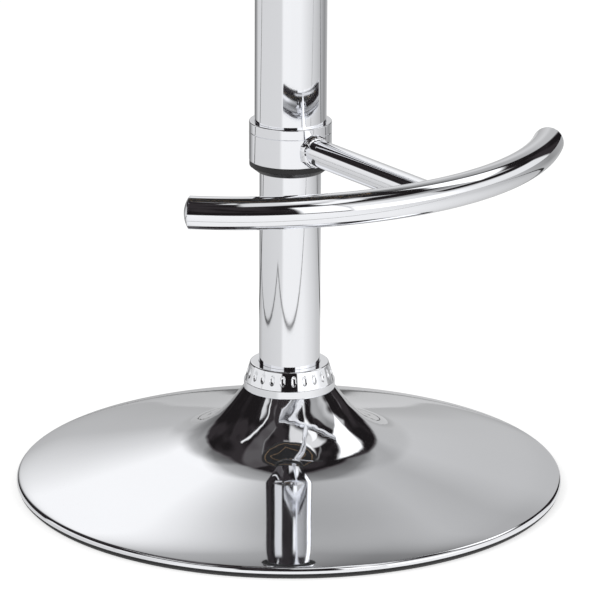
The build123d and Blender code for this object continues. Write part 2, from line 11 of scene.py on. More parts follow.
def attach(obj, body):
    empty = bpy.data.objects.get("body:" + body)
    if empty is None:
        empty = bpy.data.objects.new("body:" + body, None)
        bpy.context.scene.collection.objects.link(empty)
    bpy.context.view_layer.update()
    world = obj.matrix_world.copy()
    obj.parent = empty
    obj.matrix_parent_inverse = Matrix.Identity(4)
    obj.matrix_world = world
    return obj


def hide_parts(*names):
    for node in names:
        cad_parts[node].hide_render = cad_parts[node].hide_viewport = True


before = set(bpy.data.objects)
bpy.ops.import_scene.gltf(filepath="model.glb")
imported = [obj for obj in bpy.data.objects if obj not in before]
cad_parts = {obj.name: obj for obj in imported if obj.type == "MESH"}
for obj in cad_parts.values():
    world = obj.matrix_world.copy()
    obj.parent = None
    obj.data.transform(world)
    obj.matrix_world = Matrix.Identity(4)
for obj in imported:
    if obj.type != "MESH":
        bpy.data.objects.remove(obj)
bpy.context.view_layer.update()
random.seed(7)

# Lengths are written in millimetres, as in the part's source, and meshes are made in metres.
MM = 0.001


def new_object(name, data):
    item = bpy.data.objects.new(name, data)
    bpy.context.collection.objects.link(item)
    return item


# ---------------- camera
# The camera was fitted to the photograph, whose left-right axis is turned against the object.
PHOTO_TURN = math.radians(-36.2)
CAMERA_DISTANCE = 3.07196
CAMERA_HEIGHT = 1.11915
CAMERA_PITCH = math.radians(17.39)
CAMERA_YAW = math.radians(0.157)
CAMERA_ROLL = math.radians(0.309)
SENSOR = 36
LENS = 6.5656 * SENSOR
NEAR_CLIP, FAR_CLIP = 0.05, 60


def make_camera():
    flat = math.cos(CAMERA_PITCH)
    forward = Vector((math.sin(CAMERA_YAW) * flat, math.cos(CAMERA_YAW) * flat, -math.sin(CAMERA_PITCH)))
    level = Vector((math.cos(CAMERA_YAW), -math.sin(CAMERA_YAW), 0))
    upright = level.cross(forward)
    right = math.cos(CAMERA_ROLL) * level + math.sin(CAMERA_ROLL) * upright
    up = math.cos(CAMERA_ROLL) * upright - math.sin(CAMERA_ROLL) * level
    pose = Matrix((right, up, -forward)).transposed().to_4x4()
    pose.translation = (0, -CAMERA_DISTANCE, CAMERA_HEIGHT)
    data = bpy.data.cameras.new("photo_camera")
    data.sensor_width = SENSOR
    data.lens = LENS
    data.clip_start, data.clip_end = NEAR_CLIP, FAR_CLIP
    camera = new_object("photo_camera", data)
    camera.matrix_world = Matrix.Rotation(PHOTO_TURN, 4, "Z") @ pose
    bpy.context.scene.camera = camera


make_camera()
bpy.context.scene.view_settings.view_transform = "Standard"


# ---------------- node helpers
class Value:
    """An output of a shader node, which can be reckoned with like a number."""

    def __init__(self, tree, socket):
        self.tree, self.socket = tree, socket

    def __getitem__(self, output):
        """Another output of the same node."""
        return Value(self.tree, self.socket.node.outputs[output])

    def math(self, operation, *other):
        """Result of a maths node on this value and on one other, if given."""
        return add(self.tree, "Math", dict(enumerate((self, *other))), operation=operation)

    def __rsub__(self, other):
        return add(self.tree, "Math", {0: other, 1: self}, operation="SUBTRACT")

    __add__ = partialmethod(math, "ADD")
    __sub__ = partialmethod(math, "SUBTRACT")
    __mul__ = partialmethod(math, "MULTIPLY")
    __truediv__ = partialmethod(math, "DIVIDE")
    __abs__ = partialmethod(math, "ABSOLUTE")


def empty_tree(owner):
    owner.use_nodes = True
    owner.node_tree.nodes.clear()
    return owner.node_tree


def add(tree, kind, inputs=None, **settings):
    """First output of a new shader node with its settings and inputs. An input may be another node's output."""
    node = tree.nodes.new("ShaderNode" + kind)
    for key, value in settings.items():
        setattr(node, key, value)
    for key, value in (inputs or {}).items():
        if isinstance(value, Value):
            tree.links.new(value.socket, node.inputs[key])
        else:
            node.inputs[key].default_value = value
    return Value(tree, node.outputs[0] if node.outputs else None)


def remap(value, low, high, first=0, last=1, **settings):
    """A value brought from one range into another."""
    spans = {"Value": value, "From Min": low, "From Max": high, "To Min": first, "To Max": last}
    return add(value.tree, "MapRange", spans, **settings)


def above(value, edge, soft):
    """0 below an edge and 1 above it, with a soft step."""
    return remap(value, edge - soft, edge + soft, interpolation_type="SMOOTHSTEP")


def between(value, low, high, soft):
    """1 between two edges and 0 outside them, with soft steps."""
    return above(value, low, soft) * (1 - above(value, high, soft))


def bearing(vector):
    """Azimuth in degrees, 0 away from the photograph's camera and positive to its right, and the turned vector."""
    level = add(vector.tree, "VectorRotate", {"Vector": vector, "Angle": -PHOTO_TURN}, rotation_type="Z_AXIS")
    parts = add(vector.tree, "SeparateXYZ", {0: level})
    return parts["X"].math("ARCTAN2", parts["Y"]).math("DEGREES"), parts


def ramp(value, stops):
    """Colour ramp through (position, grey) or (position, colour) stops."""
    result = add(value.tree, "ValToRGB", {0: value})
    elements = result.socket.node.color_ramp.elements
    while len(elements) < len(stops):
        elements.new(0.5)
    for element, (place, colour) in zip(elements, stops):
        element.position = place
        colour = (colour, colour, colour) if isinstance(colour, (int, float)) else colour
        element.color = (*colour, 1)
    return result


HALF_TURN = 180
ZENITH = 90


def by_azimuth(azimuth, stops):
    """Grey that changes with the azimuth, through (degrees, grey) stops."""
    places = [((place + HALF_TURN) / (2 * HALF_TURN), grey) for place, grey in stops]
    return ramp((azimuth + HALF_TURN) / (2 * HALF_TURN), places)


def by_elevation(elevation, stops):
    """Grey that changes with the elevation, through (degrees, grey) stops."""
    return ramp(elevation / ZENITH, [(place / ZENITH, grey) for place, grey in stops])


# ---------------- studio
# What the chrome mirrors was laid out by azimuth and elevation in degrees.
# The dark room is a little uneven and warm: (scale, bottom and top of the noise, least and most brightness).
ROOM = (3.3, 0.46, 0.6, 0.012, 0.032)
ROOM_TINT = ((0.03, (1, 0.86, 0.93)), (0.15, 1))
# Panels of light: (azimuth, half width, elevation, half height, softness, slope, bend, brightness).
PANELS = (
    (57.5, 19, 45, 10.5, 2, -0.16, 0, 1.3),
    (-95, 31, 55.6, 0.9, 0.8, 0.1, -0.0045, 0.95),
    (-82, 62, 67, 5.5, 1.6, 0.05, -0.0018, 0.07),
    (-70, 75, 72.4, 0.5, 0.5, 0.03, -0.0016, 0.18),
    (55, 45, 69.8, 0.6, 0.5, -0.05, -0.0006, 0.16),
    (149, 9, 24, 21, 1.5, 0, 0, 1.1),
    (122, 20, 61, 5, 2, -0.3, 0, 1),
    (130, 48, 76, 11, 3, 0, -0.002, 0.7),
    (-132, 27, 5, 15, 2, 0, 0, 0.85),
    (-127, 19, 41, 5.5, 1, 0, 0, 0.68),
    (75, 58, 77, 4, 1.5, 0, 0, 1),
    (-84, 21, 7, 12, 1.5, 0, 0, 0.8),
    (10, 80, 88, 5, 3, 0, 0, 0.3),
    (-171, 10, 82, 4, 3, 0, 0, 0.9),
)
# The backdrop's brightness up its left and its right side, by elevation, and the right side's share, by azimuth.
BACKDROP_LEFT = ((0, 0.4), (9, 0.46), (25, 0.97))
BACKDROP_RIGHT = ((0, 0.46), (5, 0.58), (23, 0.58), (31, 0.47), (45, 0.52))
BACKDROP_MIX = ((-12, 0), (-5, 0.15), (3, 0.6), (9, 1))
# Its top falls off with the elevation. The fall starts lower by so many degrees in the middle, out to an azimuth,
# and past a corner's azimuth by so much per degree.
BACKDROP_FALL = ((38, 1), (41, 0.85), (47, 0.42), (57, 0.27), (61, 0))
BACKDROP_DIP = (2, 15)
BACKDROP_CORNER = (22, 0.45)
# Its sides fall off with the azimuth, and lean outwards: (elevation where they are true, lean).
BACKDROP_EDGE = (
    (-33, 0), (-31, 0.3), (-27, 0.35), (-23, 0.5), (-18, 1), (10, 1), (16, 0.85), (28, 0.85), (30, 0),
)
BACKDROP_LEAN = (30, 0.25)
# The pale wall on the right: (azimuth of its near edge at the horizon, that edge's lean, azimuth of its far edge).
WALL = (44.5, 0.45, 140)
WALL_SOFT = 2
WALL_GREYS = ((45, 0.78), (90, 0.84), (112, 1.25), (140, 1.5))
WALL_FALL = ((17, 1), (22, 0.62), (36, 0.62), (41, 0.31), (46, 0.28), (47.5, 0))
# A dark opening in the wall: (azimuth, half width, bottom, top, slope).
WALL_GAP = (75, 25, 21, 31.5, 0.2)
GAP_SOFT = 1.5
AMBIENT = 0.78
WHITE = (1, 1, 1, 1)


def panel(azimuth, elevation, centre, half_width, height, half_height, soft, slope, bend, strength):
    """Brightness of one panel of light, whose rows slope and bend with the azimuth."""
    across = azimuth - centre
    along = elevation - (across * slope + across * across * bend)
    columns = between(across, -half_width, half_width, soft)
    return columns * between(along, height - half_height, height + half_height, soft) * strength


def backdrop(azimuth, elevation):
    """Brightness of the pale backdrop behind the stool, brightest left of the middle."""
    share = by_azimuth(azimuth, BACKDROP_MIX)
    sides = by_elevation(elevation, BACKDROP_LEFT) * (1 - share) + by_elevation(elevation, BACKDROP_RIGHT) * share
    aside = abs(azimuth)
    corner, slope = BACKDROP_CORNER
    beyond = (aside - corner).math("MAXIMUM", 0)
    dip, reach = BACKDROP_DIP
    middle = (dip - aside * (dip / reach)).math("MAXIMUM", 0)
    fall = by_elevation(elevation + beyond * slope + middle, BACKDROP_FALL)
    true, lean = BACKDROP_LEAN
    outward = (aside - (elevation - true) * lean) * azimuth.math("SIGN")
    return sides * fall * by_azimuth(outward, BACKDROP_EDGE)


def wall(azimuth, elevation):
    """Brightness of the pale wall on the right, with its slanting near edge and its dark opening."""
    near, lean, far = WALL
    wide = above(azimuth - elevation * lean, near, WALL_SOFT) * (1 - above(azimuth, far, WALL_SOFT))
    centre, half_width, bottom, top, slope = WALL_GAP
    across = azimuth - centre
    columns = between(across, -half_width, half_width, WALL_SOFT)
    gap = columns * between(elevation - across * slope, bottom, top, GAP_SOFT)
    return wide * by_elevation(elevation, WALL_FALL) * by_azimuth(azimuth, WALL_GREYS) * (1 - gap)


def studio_brightness(tree):
    """What the studio shows in each direction above the horizon."""
    direction = add(tree, "TexCoord")["Generated"]
    azimuth, parts = bearing(direction)
    elevation = parts["Z"].math("ARCSINE").math("DEGREES")
    brightest = backdrop(azimuth, elevation).math("MAXIMUM", wall(azimuth, elevation))
    for row in PANELS:
        brightest = brightest.math("MAXIMUM", panel(azimuth, elevation, *row))
    scale, bottom, top, least, most = ROOM
    cloud = add(tree, "TexNoise", {"Vector": direction, "Scale": scale, "Detail": 1})
    return brightest + remap(cloud, bottom, top, least, most)


def mirror_rays(rays):
    return rays["Is Glossy Ray"].math("MAXIMUM", rays["Is Transmission Ray"])


def make_world():
    """White to the camera, the studio to the chrome, and plain light to everything else."""
    world = bpy.data.worlds.new("studio")
    bpy.context.scene.world = world
    tree = empty_tree(world)
    rays = add(tree, "LightPath")
    brightness = studio_brightness(tree)
    studio = add(tree, "Background", {"Color": ramp(brightness, ROOM_TINT), "Strength": brightness})
    plain = add(tree, "Background", {"Color": WHITE, "Strength": AMBIENT})
    white = add(tree, "Background", {"Color": WHITE, "Strength": 1})
    lit = add(tree, "MixShader", {0: mirror_rays(rays), 1: plain, 2: studio})
    seen = add(tree, "MixShader", {0: rays["Is Camera Ray"], 1: lit, 2: white})
    add(tree, "OutputWorld", {"Surface": seen})


# The floor, in metres, and a square around the stool, with its half width, the half widths of the thin dark lines
# painted into the mirrored floor along its edges, and their brightness.
FLOOR_HALF = 12
PAINTED_LINE_SQUARE_HALF = 0.466
PAINTED_LINE = 0.008
PAINTED_REAR_LINE = 0.025
PAINTED_LINE_LIGHT = 0.05
# The floor's mirrored brightness near the stool and further out, by azimuth, and (distance, softness) of the change.
FLOOR_NEAR = ((-157, 0.9), (-148, 0.7), (-60, 0.62), (-34, 0.42), (0, 0.55), (60, 0.6), (130, 0.9))
FLOOR_FAR = ((-157, 0.94), (-150, 0.7), (-55, 0.68), (-32, 0.17), (2, 0.64), (48, 0.28), (75, 0.5), (150, 0.93))
FLOOR_CHANGE = (0.8, 0.45)
# The camera sees this grey with its shadow, plus a lift to white. Rays that aren't mirrored meet the plain grey.
FLOOR_SEEN = 0.5
FLOOR_LIFT = 0.6
FLOOR_PLAIN = 0.8


def floor_material():
    """White studio floor: plain white to the camera with the stool's shadow, and shaded as the photograph's
    floor is where the chrome mirrors it. From below it is clear."""
    material = bpy.data.materials.new("studio_floor")
    tree = empty_tree(material)
    rays = add(tree, "LightPath")
    place = add(tree, "NewGeometry")
    azimuth, parts = bearing(place["Position"])
    x, y = parts["X"], parts["Y"]
    outward = above((x * x + y * y).math("SQRT"), *FLOOR_CHANGE)
    greys = {0: outward, 6: by_azimuth(azimuth, FLOOR_NEAR), 7: by_azimuth(azimuth, FLOOR_FAR)}
    glow = add(tree, "Mix", greys, data_type="RGBA")[2]
    # Thin dark lines are painted into the mirrored floor along the square's near and left edges. The rear one, seen
    # low over the base, is wider.
    line = above(abs(x.math("MINIMUM", y) + PAINTED_LINE_SQUARE_HALF), PAINTED_LINE, PAINTED_LINE)
    rear_line = above(abs(y - PAINTED_LINE_SQUARE_HALF), PAINTED_REAR_LINE, PAINTED_LINE)
    kept = remap(line.math("MINIMUM", rear_line), 0, 1, PAINTED_LINE_LIGHT)
    mirrored = add(tree, "Emission", {"Color": glow, "Strength": kept})
    shaded, plain = [add(tree, "BsdfDiffuse", {"Color": (grey, grey, grey, 1)}) for grey in (FLOOR_SEEN, FLOOR_PLAIN)]
    lift = add(tree, "Emission", {"Color": WHITE, "Strength": FLOOR_LIFT})
    seen = add(tree, "AddShader", {0: shaded, 1: lift})
    other = add(tree, "MixShader", {0: mirror_rays(rays), 1: plain, 2: mirrored})
    top = add(tree, "MixShader", {0: rays["Is Camera Ray"], 1: other, 2: seen})
    both = add(tree, "MixShader", {0: place["Backfacing"], 1: top, 2: add(tree, "BsdfTransparent")})
    add(tree, "OutputMaterial", {"Surface": both})
    return material


def make_floor():
    mesh = bpy.data.meshes.new("studio_floor")
    half = FLOOR_HALF
    mesh.from_pydata([(-half, -half, 0), (half, -half, 0), (half, half, 0), (-half, half, 0)], [], [(0, 1, 2, 3)])
    mesh.materials.append(floor_material())
    new_object("studio_floor", mesh)


LAMP_AIM = Vector((0, 0, 0.4))


def area_lamp(name, place, size, power):
    """Soft panel of light aimed at the middle of the stool. The chrome mirrors the studio, not the panel."""
    data = bpy.data.lights.new(name, "AREA")
    data.shape = "DISK"
    data.size = size
    data.energy = power
    lamp = new_object(name, data)
    lamp.location = Matrix.Rotation(PHOTO_TURN, 3, "Z") @ Vector(place)
    lamp.rotation_euler = (LAMP_AIM - lamp.location).to_track_quat("-Z", "Y").to_euler()
    lamp.visible_glossy = False


make_world()
make_floor()
area_lamp("key_panel", (-1.6, -1.4, 2.6), 1.6, 28)
area_lamp("fill_panel", (2.2, -1, 1.8), 1.8, 12)


# ---------------- materials
def own_place(tree):
    """Place on the piece itself, in metres, so that a pattern moves with it."""
    return add(tree, "TexCoord")["Object"]


def noise(tree, scale, detail=4, stretch=None, rough=0.5):
    """Noise on the piece itself, stretched along its axes if asked."""
    place = own_place(tree)
    if stretch:
        place = add(tree, "Mapping", {"Vector": place, "Scale": stretch})
    return add(tree, "TexNoise", {"Vector": place, "Scale": scale, "Detail": detail, "Roughness": rough})


def spread(value, low, high):
    """The middle half of a texture's values spread over a range."""
    return remap(value, 0.25, 0.75, low, high)


def bump(height, strength, distance, under=None):
    """Normal for a height pattern, on top of another normal if given."""
    inputs = {"Height": height, "Strength": strength, "Distance": distance}
    if under:
        inputs["Normal"] = under
    return add(height.tree, "Bump", inputs)


def tint(value, first, second):
    """Colour that runs from one to another with a value."""
    return ramp(value, [(0.3, first), (0.7, second)])


# Each recipe adds its textures to a tree and returns the shader's inputs.
def chrome(tree, colour, gloss, wear):
    return {
        "Base Color": tint(noise(tree, 9, 2), colour, [c * 0.985 for c in colour]),
        "Metallic": 1,
        "Roughness": spread(noise(tree, 38, 5), gloss, gloss + wear),
        "Normal": bump(noise(tree, 60, 1), 0.012, 0.0006),
    }


def brushed(tree, colour, roughness, stretch):
    lines = noise(tree, 420, 3, stretch)
    return {
        "Base Color": tint(lines, [c * 0.9 for c in colour], colour),
        "Metallic": 1,
        "Roughness": spread(lines, roughness * 0.8, roughness * 1.25),
        "Normal": bump(lines, 0.18, 0.00008),
    }


def moulded(tree, colour, roughness, grain, depth):
    fine = noise(tree, grain, 3)
    return {
        "Base Color": tint(noise(tree, 26), [c * 0.85 for c in colour], colour),
        "Roughness": spread(fine, roughness * 0.85, roughness * 1.15),
        "Normal": bump(fine, 0.35, depth),
    }


def cast_iron(tree):
    pits = noise(tree, 240, 6, rough=0.7)
    return {
        "Base Color": tint(noise(tree, 35, 5), (0.045, 0.043, 0.042), (0.1, 0.095, 0.09)),
        "Metallic": 0.4,
        "Roughness": spread(pits, 0.55, 0.85),
        "Normal": bump(pits, 0.6, 0.0005),
    }


def powder_coat(tree):
    peel = noise(tree, 700, 2)
    return {
        "Base Color": tint(noise(tree, 30), (0.012, 0.012, 0.013), (0.02, 0.02, 0.021)),
        "Roughness": spread(peel, 0.38, 0.55),
        "Normal": bump(peel, 0.5, 0.00012),
    }


def leather(tree, colour, scale):
    """Pebbled leatherette, with its pebbles pushed about by a coarser noise."""
    place = own_place(tree)
    warp = add(tree, "TexNoise", {"Vector": place, "Scale": scale * 0.6, "Detail": 2})["Color"]
    pushed = add(tree, "Mix", {0: 0.0012, 4: place, 5: warp}, data_type="VECTOR")[1]
    cells = add(tree, "TexVoronoi", {"Vector": pushed, "Scale": scale}, feature="DISTANCE_TO_EDGE")
    pebbles = above(cells, 0.11, 0.11)
    grain = bump(pebbles, 0.5, 0.00022)
    grain = bump(noise(tree, scale * 3.2, 3), 0.25, 0.00008, grain)
    grain = bump(noise(tree, 55, 3), 0.35, 0.0007, grain)
    return {
        "Base Color": tint(noise(tree, 22, 4), colour, [c * 1.7 for c in colour]),
        "Roughness": spread(pebbles * noise(tree, 40), 0.5, 0.34),
        "Specular IOR Level": 0.45,
        "Coat Weight": 0.22,
        "Coat Roughness": 0.3,
        "Normal": grain,
    }


PLY = 0.0028
WOOD = ((0.25, (0.34, 0.2, 0.1)), (0.5, (0.55, 0.37, 0.2)), (0.75, (0.66, 0.48, 0.29)))


def plywood(tree):
    """Plies by height, and a grain along one direction."""
    height = add(tree, "SeparateXYZ", {0: own_place(tree)})["Z"]
    stripe = between((height * (1 / PLY)).math("FRACT"), 0.08, 0.55, 0.05)
    grain = noise(tree, 55, 8, (1, 14, 6))
    return {
        "Base Color": ramp(grain * 0.8 + stripe * 0.2, WOOD),
        "Roughness": spread(grain, 0.6, 0.75),
        "Normal": bump(grain, 0.3, 0.0003),
    }


def foam(tree):
    cells = add(tree, "TexVoronoi", {"Vector": own_place(tree), "Scale": 900})
    return {
        "Base Color": tint(noise(tree, 60), (0.75, 0.66, 0.42), (0.82, 0.74, 0.5)),
        "Roughness": 0.95,
        "Normal": bump(cells, 0.8, 0.0006),
    }


def spunbond(tree):
    """Black non-woven under-seat cloth with its pressed dots and stray fibres."""
    dots = add(tree, "TexVoronoi", {"Vector": own_place(tree), "Scale": 620, "Randomness": 0.15})
    pressed = remap(dots, 0.15, 0.4)
    fibres = noise(tree, 900, 6, (1, 0.2, 1), 0.7)
    return {
        "Base Color": tint(fibres, (0.008, 0.008, 0.009), (0.03, 0.03, 0.032)),
        "Roughness": 0.9,
        "Sheen Weight": 0.25,
        "Sheen Roughness": 0.5,
        "Normal": bump(pressed + fibres * 0.6, 0.6, 0.0003),
    }


recipes = {
    "chrome": (chrome, (0.945, 0.955, 0.985), 0.035, 0.02),
    "black_rubber": (moulded, (0.016, 0.016, 0.017), 0.62, 900, 0.00012),
    "black_plastic": (moulded, (0.011, 0.011, 0.012), 0.36, 1300, 0.00006),
    "white_nylon": (moulded, (0.75, 0.74, 0.7), 0.45, 800, 0.00005),
    "cast_iron": (cast_iron,),
    "steel": (brushed, (0.62, 0.62, 0.61), 0.32, (1, 1, 0.06)),
    "black_steel": (brushed, (0.05, 0.05, 0.055), 0.42, (1, 1, 0.3)),
    "aluminium": (brushed, (0.78, 0.78, 0.79), 0.36, (0.05, 0.05, 1)),
    "brass": (brushed, (0.8, 0.6, 0.28), 0.3, (0.05, 0.05, 1)),
    "black_paint": (powder_coat,),
    "plywood": (plywood,),
    "foam": (foam,),
    "seat_leather": (leather, (0.011, 0.011, 0.012), 430),
    "piping_leather": (leather, (0.01, 0.01, 0.011), 560),
    "dust_cloth": (spunbond,),
}
finish = {}
for name, (recipe, *values) in recipes.items():
    finish[name] = bpy.data.materials.new(name)
    tree = empty_tree(finish[name])
    add(tree, "OutputMaterial", {"Surface": add(tree, "BsdfPrincipled", recipe(tree, *values))})
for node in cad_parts.values():
    for holder in node.material_slots:
        name = holder.material.name.split(".")[0]
        holder.link = "OBJECT"
        holder.material = finish[name]


# ---------------- mesh helpers
SHARP = math.radians(32)


def smooth(mesh):
    """Smooth shading apart from the sharp edges."""
    for face in mesh.polygons:
        face.use_smooth = True
    mesh.set_sharp_from_angle(angle=SHARP)


def make_piece(name, mesh, slot, body, stands_for=()):
    """Object of a mesh, with its finish, body and slot, in place of the CAD nodes it stands for."""
    mesh.name = name
    smooth(mesh)
    mesh.materials.clear()
    mesh.materials.append(finish[slot])
    piece = new_object(name, mesh)
    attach(piece, body)
    if stands_for:
        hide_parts(*stands_for)
    return piece


def evaluated(item):
    """The object as its modifiers leave it."""
    return item.evaluated_get(bpy.context.evaluated_depsgraph_get())


def grid_mesh(rings):
    """Closed mesh of closed rings of points in millimetres, with the last ring joined to the first."""
    count = len(rings[0])
    points = [(x * MM, y * MM, z * MM) for ring in rings for x, y, z in ring]
    faces = []
    for row in range(len(rings)):
        here, there = row * count, (row + 1) % len(rings) * count
        for step in range(count):
            after = (step + 1) % count
            faces.append((here + step, here + after, there + after, there + step))
    mesh = bpy.data.meshes.new("skin")
    mesh.from_pydata(points, [], faces)
    work = bmesh.new()
    work.from_mesh(mesh)
    bmesh.ops.remove_doubles(work, verts=work.verts, dist=1e-7)
    bmesh.ops.dissolve_degenerate(work, edges=work.edges, dist=1e-8)
    bmesh.ops.recalc_face_normals(work, faces=work.faces)
    work.to_mesh(mesh)
    work.free()
    return mesh


def angles(count):
    """Even steps round a full turn."""
    return [2 * math.pi * step / count for step in range(count)]


def arc(centre, radius, start, end, steps):
    """Points of an arc; angles in radians from the outline's first axis."""
    turns = [start + (end - start) * step / steps for step in range(steps + 1)]
    return [(centre[0] + radius * math.cos(turn), centre[1] + radius * math.sin(turn)) for turn in turns]


def part_way(here, there, share):
    """Point at a share of the way from one to another."""
    return tuple(a + (b - a) * share for a, b in zip(here, there))


def spoke(radius, turn, height):
    """Point at a radius, a direction and a height."""
    return radius * math.cos(turn), radius * math.sin(turn), height


def both_ways(rows, first, second):
    """Rows there with one value and back with another, for the two sides of a sheet or tube."""
    return [(first, row) for row in range(rows + 1)] + [(second, row) for row in range(rows, -1, -1)]


def ease(share):
    """Smooth step from 0 to 1."""
    return share * share * (3 - 2 * share)


def random_waves(counts, size):
    """Waves round a circle as (phase, count, size), with random phases and a size for each count."""
    return [(random.uniform(0, 2 * math.pi), count, size(count)) for count in counts]


def wave_sum(waves, turn, shift=0):
    return sum(size * math.sin(count * turn + phase + shift) for phase, count, size in waves)


HOLD = 0.35


def held(points):
    """The closed outline with holding points near the ends of its long runs, so that shading stays true."""
    result = []
    for here, there in zip(points, points[1:] + points[:1]):
        run = math.dist(here, there)
        result.append(here)
        if run > 5 * HOLD:
            result += [part_way(here, there, share) for share in (HOLD / run, 1 - HOLD / run)]
    return result


def lathe(outline, steps, hold=True):
    """Mesh turned about Z from a closed outline of (radius, height)."""
    outline = held(outline) if hold else outline
    spokes = [(math.cos(turn), math.sin(turn)) for turn in angles(steps)]
    return grid_mesh([[(radius * x, radius * y, height) for x, y in spokes] for radius, height in outline])


def rounded(points, radii, steps=5):
    """Closed outline with its corners rounded; radii maps a corner's index to its radius."""
    result = []
    count = len(points)
    for index, corner in enumerate(points):
        radius = radii.get(index)
        if not radius:
            result.append(corner)
            continue
        corner = Vector(corner)
        back = (Vector(points[index - 1]) - corner).normalized()
        ahead = (Vector(points[(index + 1) % count]) - corner).normalized()
        half = back.angle(ahead) / 2
        centre = corner + (back + ahead).normalized() * radius / math.sin(half)
        first = corner + back * radius / math.tan(half) - centre
        last = corner + ahead * radius / math.tan(half) - centre
        sweep = first.angle_signed(last)
        for step in range(steps + 1):
            turn = Matrix.Rotation(-sweep * step / steps, 2)
            result.append(tuple(centre + turn @ first))
    return result


def turned(name, node, slot, body, steps, radii, outline, corner_steps=5):
    """Plain turned piece in place of a CAD node, from its outline and the radii of the outline's corners."""
    make_piece(name, lathe(rounded(outline, radii, corner_steps), steps), slot, body, [node])


# ---------------- base
BASE_RADIUS = 225
SHELL_SHEET = 1.5
RIM_TOP = 9.2
RIM_ROUNDING = 3.4
RIM_FOOT = 5.4
# The apron steepens by this share towards the rim, from this radius on.
RIM_LEAD = 0.08
RIM_LEAD_START = 110
APRON_ANGLE = math.radians(11.5)
FLARE_RADIUS = 91.5
FLARE_STRAIGHT = 17
FLARE_ANGLE = math.radians(53)
NECK_RADIUS = 37.4
NECK_HEIGHT = 83.5
GASKET_HEIGHT = 5
COLUMN_RADIUS = 25
COLUMN_GAP = 0.6
# The waver of the spun bell: its depth, its length, its squash with the height, the finer waves' depth and number,
# and where it rises, starts to fade and ends.
WAVE_DEPTH = 0.12
WAVE_LENGTH = 13
WAVE_SQUASH = 0.6
FINE_WAVES = (0.4, 2.3)
WAVE_RISE = 4
WAVE_FULL = 72
WAVE_END = 100


def shell_skin(depth, fine):
    """The shell's skin at a depth, from the neck to the rim. The outer skin has depth 0 and a rolled edge."""
    steep, low = FLARE_ANGLE, APRON_ANGLE
    neck = (NECK_RADIUS - depth * math.sin(steep), NECK_HEIGHT - depth * math.cos(steep))
    slide = (neck[1] - NECK_HEIGHT + depth) / math.sin(steep)
    top = (neck[0] + slide * math.cos(steep), NECK_HEIGHT - depth)
    foot = (NECK_RADIUS + FLARE_STRAIGHT * math.cos(steep), NECK_HEIGHT - FLARE_STRAIGHT * math.sin(steep))
    flare = (foot[0] + FLARE_RADIUS * math.sin(steep), foot[1] + FLARE_RADIUS * math.cos(steep))
    outer_foot = (flare[0] - FLARE_RADIUS * math.sin(low), flare[1] - FLARE_RADIUS * math.cos(low))
    run, drop = BASE_RADIUS - outer_foot[0], outer_foot[1] - RIM_TOP
    apron_radius = math.hypot(run, drop) / (2 * math.sin(math.atan2(drop, run) - low))
    apron = (outer_foot[0] - apron_radius * math.sin(low), outer_foot[1] - apron_radius * math.cos(low))
    quarter = math.pi / 2
    radius = apron_radius - depth
    edge = BASE_RADIUS - depth
    end = math.asin((edge - apron[0]) / radius)
    if not depth:
        # The outer skin steepens a little before it turns over the rim.
        for _ in range(4):
            edge = BASE_RADIUS - RIM_ROUNDING * (1 - math.sin(end + RIM_LEAD))
            end = math.asin((edge - apron[0]) / radius)
    lead = top if depth else neck
    reach = FLARE_RADIUS + depth
    straight_end = (flare[0] - reach * math.sin(steep), flare[1] - reach * math.cos(steep))
    straight = [part_way(lead, straight_end, step / fine) for step in range(fine)]
    bell = arc(flare, reach, -quarter - steep, -quarter - low, 4 * fine)
    skirt = arc(apron, radius, quarter - low, quarter - end, 8 * fine)
    if not depth:
        span = edge - RIM_LEAD_START
        shares = [max(0, (r - RIM_LEAD_START) / span) for r, z in skirt]
        skirt = [(r, z + RIM_LEAD * span * u**6 * (1 - u)) for (r, z), u in zip(skirt, shares)]
    points = straight + bell + skirt[1:]
    if not depth:
        slope = end + RIM_LEAD
        corner = (edge - RIM_ROUNDING * math.sin(slope), skirt[-1][1] - RIM_ROUNDING * math.cos(slope))
        points += arc(corner, RIM_ROUNDING, quarter - slope, 0, 16)[1:]
    return points


def base_shell():
    """The spun shell. It isn't perfectly true, which makes its mirror images waver."""
    hole = COLUMN_RADIUS + COLUMN_GAP
    outline = shell_skin(0, 12)
    outline += [(BASE_RADIUS, RIM_FOOT), (BASE_RADIUS, GASKET_HEIGHT), (BASE_RADIUS - SHELL_SHEET, GASKET_HEIGHT)]
    outline += shell_skin(SHELL_SHEET, 3)[::-1] + [(hole, NECK_HEIGHT - SHELL_SHEET), (hole, NECK_HEIGHT)]
    mesh = lathe(outline, 448, hold=False)
    strength, finer = FINE_WAVES
    for vertex in mesh.vertices:
        x, y, z = vertex.co / MM
        radius = math.hypot(x, y)
        falling = min(1, max(0, (WAVE_END - radius) / (WAVE_END - WAVE_FULL)))
        fade = falling * min(1, max(0, (radius - NECK_RADIUS) / WAVE_RISE))
        if fade:
            spot = Vector((x, y, z * WAVE_SQUASH)) / WAVE_LENGTH
            shift = WAVE_DEPTH * ease(fade) * (noise_at(spot) + strength * noise_at(spot * finer))
            vertex.co += Vector((x, y, 0)) * shift / radius * MM
    make_piece("base_shell_skin", mesh, "chrome", "base", ["base_shell"])


RING_TOP = 105
RING_BAND_TOP = 90
RING_CONE_FOOT = 36.7
RING_TOP_RADIUS = 32.2
RING_BORE = 25.3
RING_LIP = 1.6
DIMPLES = 24
DIMPLE_STEPS = 30
DIMPLE_ROW = 0.3
CONE_RUN = 8
DIMPLE_HALF_WIDTH = 2.1
DIMPLE_HALF_HEIGHT = 4.3
DIMPLE_DEPTH = 0.9
DIMPLE_MIDDLE = 97.8


